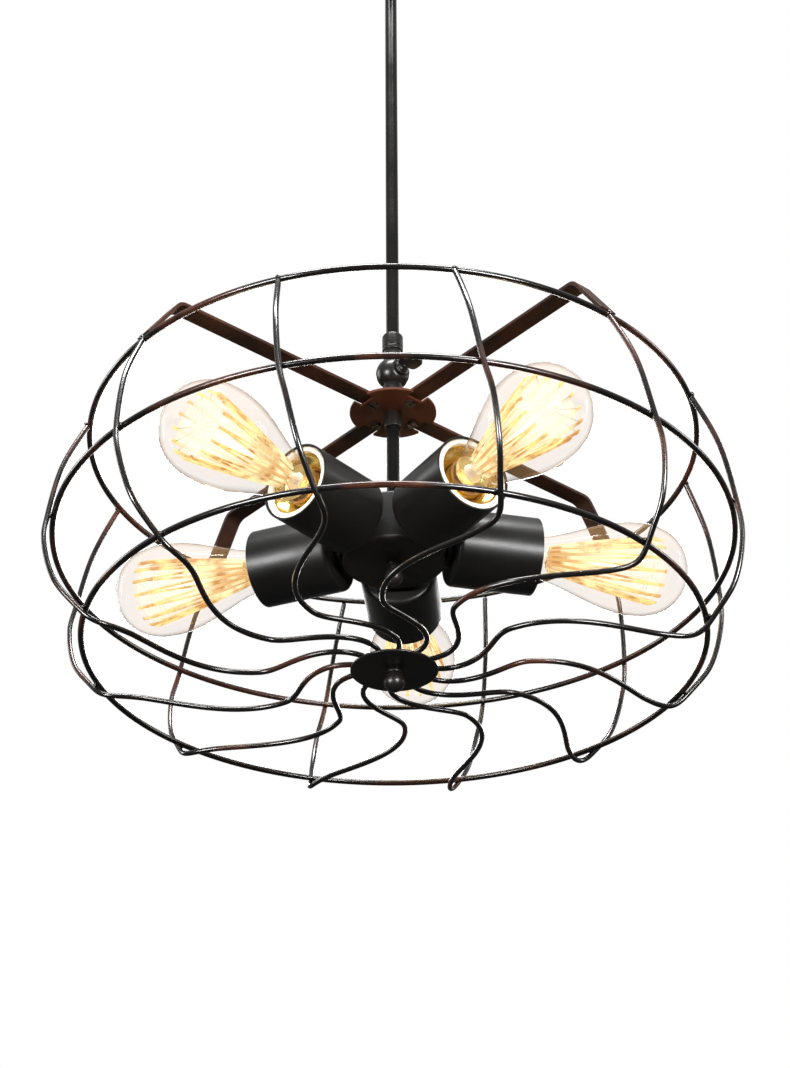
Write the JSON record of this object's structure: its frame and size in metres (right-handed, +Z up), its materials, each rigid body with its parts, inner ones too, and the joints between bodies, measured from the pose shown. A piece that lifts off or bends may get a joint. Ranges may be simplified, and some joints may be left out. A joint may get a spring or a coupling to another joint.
{
  "type": "caged pendant light",
  "caption": "Industrial black pendant light: bulbs in cup sockets inside a round wire fan-guard cage, hung on a rod with a tilting knuckle.",
  "frame": {"origin": "on the rod's axis in the ceiling plane, at the centre of the crossbar's two screw holes", "axes": "+Z up toward the ceiling, -Y toward the front, +X to the right seen from the front"},
  "size_m": [0.4554, 0.4554, 0.7035],
  "materials": {
    "black_coat": "satin black powder coat",
    "black_wire": "black powder coat with a slight gloss",
    "black_satin": "smooth black paint over turned metal",
    "plated_steel": "zinc plated",
    "screw_steel": "darkened screw heads",
    "white_liner": "white lamp holder insulator",
    "brass_shell": "bright brass",
    "bulb_cap": "rolled screw cap",
    "amber_glass": "clear glass with an amber tint",
    "filament": "glowing filament on glass and wire supports"
  },
  "bodies": {
    "ceiling_mount": {"ceiling_bracket": "plated_steel", "canopy": "black_coat", "canopy_studs": "black_coat", "canopy_collar": "black_coat", "downrod": "black_coat", "rod_coupler": "black_satin", "knuckle_upper": "black_satin"},
    "cage": {"knuckle_lower": "black_satin", "hub_plate": "black_coat", "hub_screws": "screw_steel", "arm_1": "black_coat", "arm_2": "black_coat", "arm_3": "black_coat", "arm_4": "black_coat", "stem_tube": "black_coat", "stem_collars": "black_coat", "lamp_hub": "black_coat", "hub_cover": "black_coat", "hub_finial": "black_satin", "socket_nipples": "black_coat", "socket_cup_1": "black_coat", "lamp_liner_1": "white_liner", "lamp_shell_1": "brass_shell", "socket_cup_2": "black_coat", "lamp_liner_2": "white_liner", "lamp_shell_2": "brass_shell", "socket_cup_3": "black_coat", "lamp_liner_3": "white_liner", "lamp_shell_3": "brass_shell", "socket_cup_4": "black_coat", "lamp_liner_4": "white_liner", "lamp_shell_4": "brass_shell", "socket_cup_5": "black_coat", "lamp_liner_5": "white_liner", "lamp_shell_5": "brass_shell", "top_ring": "black_wire", "middle_ring": "black_wire", "bottom_ring": "black_wire", "ribs_front": "black_wire", "ribs_right": "black_wire", "ribs_back": "black_wire", "ribs_left": "black_wire", "bottom_disc": "black_coat", "bottom_finial": "black_satin"},
    "thumb": {"thumb_screw": "black_satin"},
    "bulb_1": {"bulb_cap_1": "bulb_cap", "bulb_glass_1": "amber_glass", "bulb_filament_1": "filament"},
    "bulb_2": {"bulb_cap_2": "bulb_cap", "bulb_glass_2": "amber_glass", "bulb_filament_2": "filament"},
    "bulb_3": {"bulb_cap_3": "bulb_cap", "bulb_glass_3": "amber_glass", "bulb_filament_3": "filament"},
    "bulb_4": {"bulb_cap_4": "bulb_cap", "bulb_glass_4": "amber_glass", "bulb_filament_4": "filament"},
    "bulb_5": {"bulb_cap_5": "bulb_cap", "bulb_glass_5": "amber_glass", "bulb_filament_5": "filament"}
  },
  "joints": [
    {"name": "knuckle_tilt", "type": "hinge", "parent": "ceiling_mount", "child": "cage", "pos_m": [0, 0, -0.4534], "axis": [0.6691, -0.7431, 0], "range_deg": [-60, 60]},
    {"name": "thumb_turn", "type": "hinge", "parent": "cage", "child": "thumb", "pos_m": [0, 0, -0.4534], "axis": [0.6691, -0.7431, 0], "continuous": true},
    {"name": "bulb_1_out", "type": "slide", "parent": "cage", "child": "bulb_1", "axis": [0.5878, -0.809, 0], "range_m": [0, 0.012]},
    {"name": "bulb_2_out", "type": "slide", "parent": "cage", "child": "bulb_2", "axis": [0.9511, 0.309, 0], "range_m": [0, 0.012]},
    {"name": "bulb_3_out", "type": "slide", "parent": "cage", "child": "bulb_3", "axis": [0, 1, 0], "range_m": [0, 0.012]},
    {"name": "bulb_4_out", "type": "slide", "parent": "cage", "child": "bulb_4", "axis": [-0.9511, 0.309, 0], "range_m": [0, 0.012]},
    {"name": "bulb_5_out", "type": "slide", "parent": "cage", "child": "bulb_5", "axis": [-0.5878, -0.809, 0], "range_m": [0, 0.012]}
  ]
}
